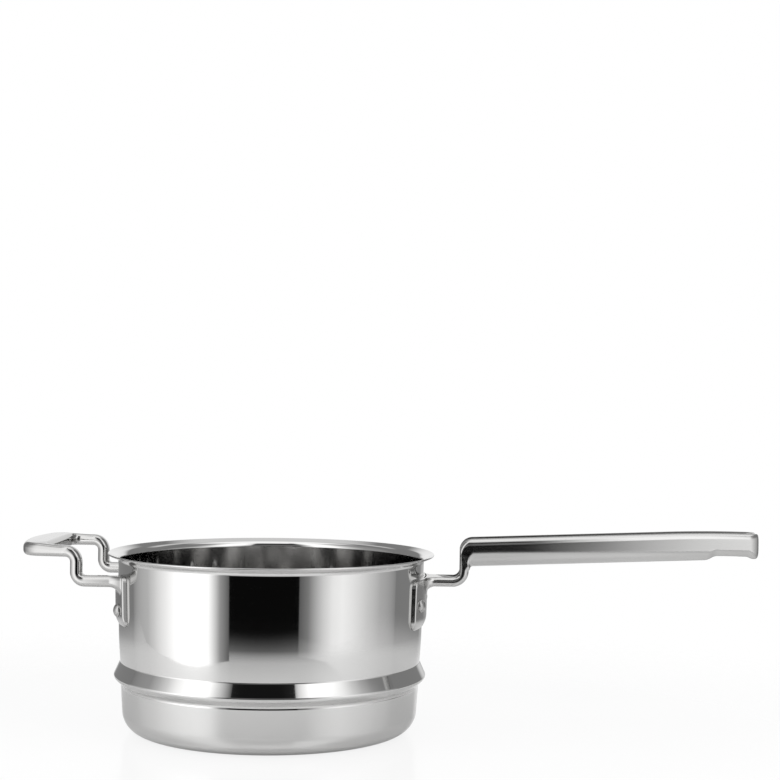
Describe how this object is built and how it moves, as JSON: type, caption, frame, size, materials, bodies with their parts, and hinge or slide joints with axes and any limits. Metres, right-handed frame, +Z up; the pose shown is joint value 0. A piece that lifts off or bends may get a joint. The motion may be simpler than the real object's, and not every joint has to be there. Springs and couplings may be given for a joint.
{
  "type": "steamer insert",
  "caption": "Polished steel steamer bowl with a perforated base, a bead that rests on a saucepan's rim, a long riveted handle and a riveted helper loop.",
  "frame": {"origin": "centre of the flat base, on its underside", "axes": "+Z up, +X along the long handle, -X through the helper loop"},
  "size_m": [0.4924, 0.2204, 0.1382],
  "materials": {
    "polished_steel": "stainless steel sheet, mirror-polished outside and inside",
    "handle_steel": "cast stainless steel, polished",
    "rivet_steel": "solid stainless steel rivet, satin from setting"
  },
  "bodies": {
    "root": {"steamer_bowl": "polished_steel", "long_handle": "handle_steel", "helper_loop": "handle_steel", "handle_rivet_near": "rivet_steel", "handle_rivet_far": "rivet_steel", "loop_rivet_near": "rivet_steel", "loop_rivet_far": "rivet_steel"}
  },
  "joints": []
}
